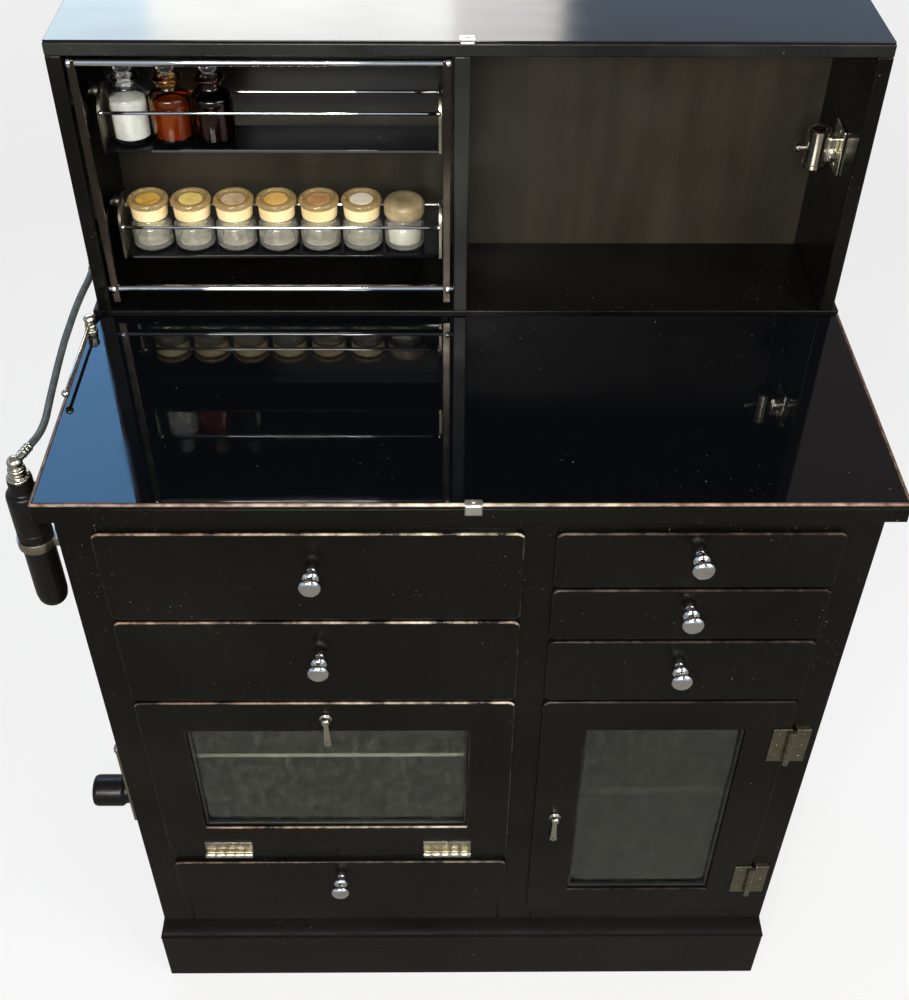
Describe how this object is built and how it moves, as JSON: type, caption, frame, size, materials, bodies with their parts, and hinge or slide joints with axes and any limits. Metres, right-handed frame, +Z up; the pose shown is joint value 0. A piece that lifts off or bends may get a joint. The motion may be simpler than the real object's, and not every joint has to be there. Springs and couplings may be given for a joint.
{
  "type": "glass-door medical cabinet",
  "caption": "Freestanding black lacquered treatment cabinet with drawers, a drop-front and a side-hung glazed door, a black glass worktop and a hutch with a tilting bottle rack.",
  "frame": {"origin": "on the floor under the middle of the cabinet's depth and width, on the plinth's middle sleeper", "axes": "+Z up, +X to the right seen from the front, +Y to the back; the fronts face -Y"},
  "size_m": [0.9097, 0.495, 1.282],
  "materials": {
    "lacquered_wood": "black-brown lacquer, worn to reddish brown on the edges",
    "black_glass": "polished black glass",
    "pane_glass": "clear, dusty",
    "nickel": "bright nickel plate, slightly yellowed",
    "chrome": "polished",
    "jar_glass": "thick clear glass with amber lids",
    "clear_bottle": "clear glass with white powder",
    "amber_bottle": "amber glass",
    "dark_bottle": "dark brown glass",
    "hose_rubber": "matt grey-green rubber",
    "ebonite": "polished black hard rubber"
  },
  "bodies": {
    "cabinet": {"plinth": "lacquered_wood", "base_left_side": "lacquered_wood", "base_right_side": "lacquered_wood", "partition": "lacquered_wood", "face_frame": "lacquered_wood", "left_cupboard_floor": "lacquered_wood", "left_cupboard_shelf": "pane_glass", "right_cupboard_shelf": "lacquered_wood", "back_panel": "lacquered_wood", "worktop_board": "lacquered_wood", "worktop_glass": "black_glass", "hutch_left_side": "lacquered_wood", "hutch_right_side": "lacquered_wood", "hutch_top": "lacquered_wood", "hutch_divider": "lacquered_wood", "rod_socket": "nickel", "handpiece": "ebonite", "handpiece_holder": "nickel", "hose": "hose_rubber", "hose_outlet": "nickel", "valve_post": "nickel", "regulator_plate": "nickel"},
    "drawer_left_top": {"drawer_left_top": "lacquered_wood", "knob_left_top": "chrome"},
    "drawer_left_middle": {"drawer_left_middle": "lacquered_wood", "knob_left_middle": "chrome"},
    "drawer_left_bottom": {"drawer_left_bottom": "lacquered_wood", "knob_left_bottom": "chrome"},
    "drawer_right_top": {"drawer_right_top": "lacquered_wood", "knob_right_top": "chrome"},
    "drawer_right_middle": {"drawer_right_middle": "lacquered_wood", "knob_right_middle": "chrome"},
    "drawer_right_lower": {"drawer_right_lower": "lacquered_wood", "knob_right_lower": "chrome"},
    "drop_door": {"drop_door_frame": "lacquered_wood", "drop_door_pane": "pane_glass", "drop_door_hinge_left": "nickel", "drop_door_hinge_right": "nickel"},
    "drop_latch": {"drop_door_latch": "nickel"},
    "side_door": {"side_door_frame": "lacquered_wood", "side_door_pane": "pane_glass", "side_door_hinge_upper": "nickel", "side_door_hinge_lower": "nickel"},
    "side_latch": {"side_door_latch": "nickel"},
    "rack": {"rack_frame": "chrome"},
    "upper_tray": {"upper_tray": "nickel", "bottle_1": "clear_bottle", "bottle_2": "amber_bottle", "bottle_3": "dark_bottle"},
    "lower_tray": {"lower_tray": "nickel", "jar_1": "jar_glass", "jar_2": "jar_glass", "jar_3": "jar_glass", "jar_4": "jar_glass", "jar_5": "jar_glass", "jar_6": "jar_glass", "jar_7": "jar_glass"},
    "valve_lever": {"valve_lever": "nickel"},
    "regulator_knob": {"regulator_knob": "ebonite"},
    "rod_thumbscrew": {"rod_thumbscrew": "nickel"}
  },
  "joints": [
    {"name": "drawer_left_top_slide", "type": "slide", "parent": "cabinet", "child": "drawer_left_top", "axis": [0, -1, 0], "range_m": [0, 0.3]},
    {"name": "drawer_left_middle_slide", "type": "slide", "parent": "cabinet", "child": "drawer_left_middle", "axis": [0, -1, 0], "range_m": [0, 0.3]},
    {"name": "drawer_left_bottom_slide", "type": "slide", "parent": "cabinet", "child": "drawer_left_bottom", "axis": [0, -1, 0], "range_m": [0, 0.3]},
    {"name": "drawer_right_top_slide", "type": "slide", "parent": "cabinet", "child": "drawer_right_top", "axis": [0, -1, 0], "range_m": [0, 0.3]},
    {"name": "drawer_right_middle_slide", "type": "slide", "parent": "cabinet", "child": "drawer_right_middle", "axis": [0, -1, 0], "range_m": [0, 0.3]},
    {"name": "drawer_right_lower_slide", "type": "slide", "parent": "cabinet", "child": "drawer_right_lower", "axis": [0, -1, 0], "range_m": [0, 0.3]},
    {"name": "drop_door_hinge", "type": "hinge", "parent": "cabinet", "child": "drop_door", "pos_m": [-0.1655, -0.2275, 0.3167], "axis": [1, 0, 0], "range_deg": [0, 90]},
    {"name": "drop_latch_turn", "type": "hinge", "parent": "drop_door", "child": "drop_latch", "pos_m": [-0.1655, -0.2223, 0.599], "axis": [0, 1, 0], "range_deg": [0, 90]},
    {"name": "side_door_hinge", "type": "hinge", "parent": "cabinet", "child": "side_door", "pos_m": [0.3878, -0.2275, 0.395], "axis": [0, 0, 1], "range_deg": [0, 110]},
    {"name": "side_latch_turn", "type": "hinge", "parent": "side_door", "child": "side_latch", "pos_m": [0.1155, -0.2223, 0.395], "axis": [0, 1, 0], "range_deg": [0, 90]},
    {"name": "rack_tilt", "type": "hinge", "parent": "cabinet", "child": "rack", "pos_m": [-0.2125, 0.09, 0.989], "axis": [1, 0, 0], "range_deg": [0, 40]},
    {"name": "upper_tray_swing", "type": "hinge", "parent": "rack", "child": "upper_tray", "pos_m": [-0.2125, 0.158, 1.195], "axis": [1, 0, 0], "range_deg": [-40, 0]},
    {"name": "lower_tray_swing", "type": "hinge", "parent": "rack", "child": "lower_tray", "pos_m": [-0.2125, 0.158, 1.062], "axis": [1, 0, 0], "range_deg": [-40, 0]},
    {"name": "valve_lever_turn", "type": "hinge", "parent": "cabinet", "child": "valve_lever", "pos_m": [-0.427, 0.05, 0.9693], "axis": [0, 0, 1], "range_deg": [0, 90]},
    {"name": "regulator_turn", "type": "hinge", "parent": "cabinet", "child": "regulator_knob", "pos_m": [-0.4268, -0.196, 0.418], "axis": [-1, 0, 0], "range_deg": [0, 270]},
    {"name": "thumbscrew_turn", "type": "hinge", "parent": "cabinet", "child": "rod_thumbscrew", "pos_m": [0.376, 0.143, 1.138], "axis": [1, 0, 0], "continuous": true}
  ],
  "couplings": [
    {"joint": "upper_tray_swing", "follows": "rack_tilt", "ratio": -1},
    {"joint": "lower_tray_swing", "follows": "rack_tilt", "ratio": -1}
  ]
}
